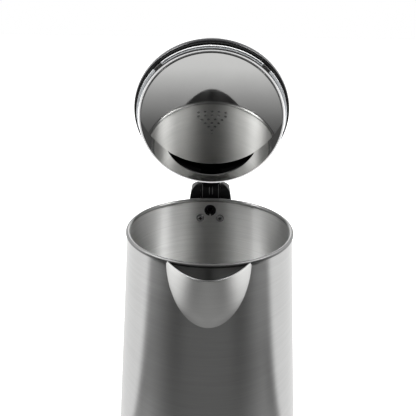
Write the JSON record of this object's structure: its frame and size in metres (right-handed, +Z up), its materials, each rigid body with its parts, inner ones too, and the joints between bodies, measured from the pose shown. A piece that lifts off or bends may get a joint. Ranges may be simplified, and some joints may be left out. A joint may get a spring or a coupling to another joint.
{
  "type": "electric kettle",
  "caption": "Cordless electric kettle: tapered brushed-steel jug with beak spout, hinged lid standing open, black D handle and round power base.",
  "frame": {"origin": "centre of the kettle's footprint on the table, on the jug's vertical axis, at the underside of the base's feet", "axes": "+Z up along the jug's axis, -Y towards the spout, +Y towards the handle, +X to the right seen from the spout side"},
  "size_m": [0.16, 0.2025, 0.3533],
  "materials": {
    "jug_steel": "fine horizontal brushed grain, satin",
    "floor_steel": "satin, fine circular grain",
    "lid_top_steel": "circular brushed, satin",
    "liner_mirror": "polished steel, near mirror with faint circular polishing marks",
    "liner_ring_steel": "polished rolled edge",
    "screw_steel": "satin steel fastener",
    "spring_steel": "drawn steel wire",
    "element_steel": "heat-tinted steel sheath",
    "bimetal": "rolled bimetal strip",
    "diffuser_aluminium": "rolled aluminium",
    "contact_brass": "plated contact brass",
    "black_gloss": "glossy black moulding",
    "black_grip": "fine spark-textured black moulding",
    "black_housing": "satin black moulding",
    "black_insulator": "matt black glass-filled moulding",
    "cream_plastic": "plain insulating moulding",
    "foot_rubber": "matt rubber",
    "black_rubber": "soft matt rubber",
    "seal_grey": "grey silicone",
    "seal_clear": "translucent pale silicone",
    "clear_silicone": "translucent silicone",
    "lens_clear": "clear moulded window"
  },
  "bodies": {
    "base": {"base_housing": "black_housing", "base_plate": "black_housing", "base_feet": "foot_rubber", "base_screws": "screw_steel", "base_hub": "black_insulator", "base_contacts": "contact_brass", "terminal_block": "cream_plastic", "terminal_screws": "screw_steel", "cord_inlet": "foot_rubber"},
    "jug": {"jug_shell": "jug_steel", "spout": "jug_steel", "jug_floor": "floor_steel", "diffuser_plate": "diffuser_aluminium", "heating_element": "element_steel", "jug_skirt": "black_housing", "bottom_cover": "black_housing", "control_screws": "screw_steel", "jug_connector": "black_insulator", "control_unit": "black_insulator", "bimetal_discs": "bimetal", "floor_seal": "clear_silicone", "hinge_housing": "black_grip", "handle_shell": "black_grip", "handle_cover": "black_grip", "handle_screws_upper": "screw_steel", "handle_screws_lower": "screw_steel", "steam_grommet": "black_rubber", "steam_tube": "clear_silicone", "steam_switch": "black_insulator", "hinge_pin": "screw_steel", "lid_springs": "spring_steel", "button_spring": "spring_steel", "indicator_lamp": "cream_plastic"},
    "lid": {"lid_cover": "black_gloss", "lid_top_plate": "lid_top_steel", "lid_arm": "black_grip", "lid_arm_screws": "screw_steel", "lid_liner": "liner_mirror", "liner_ring": "liner_ring_steel", "lid_seal": "seal_grey", "seal_ribs": "seal_clear"},
    "button": {"lid_button": "black_gloss"},
    "catch": {"lid_catch": "black_insulator"},
    "switch": {"switch_lever": "black_gloss", "indicator_lens": "lens_clear"}
  },
  "joints": [
    {"name": "jug_lift", "type": "slide", "parent": "base", "child": "jug", "axis": [0, 0, 1], "range_m": [0, 0.03]},
    {"name": "lid_hinge", "type": "hinge", "parent": "jug", "child": "lid", "pos_m": [0, 0.0798, 0.2174], "axis": [1, 0, 0], "range_deg": [0, 69.5], "stiffness_Nm_per_rad": 0.05},
    {"name": "lid_button", "type": "slide", "parent": "jug", "child": "button", "axis": [0, 0, -1], "range_m": [0, 0.003], "stiffness_N_per_m": 300, "deforming": ["button_spring"]},
    {"name": "catch_slide", "type": "slide", "parent": "jug", "child": "catch", "axis": [0, 1, 0], "range_m": [0, 0.0015]},
    {"name": "switch_lever", "type": "hinge", "parent": "jug", "child": "switch", "pos_m": [0, 0.096, 0.064], "axis": [-1, 0, 0], "range_deg": [0, 12]}
  ],
  "couplings": [
    {"joint": "catch_slide", "follows": "lid_button", "ratio": 0.5}
  ]
}
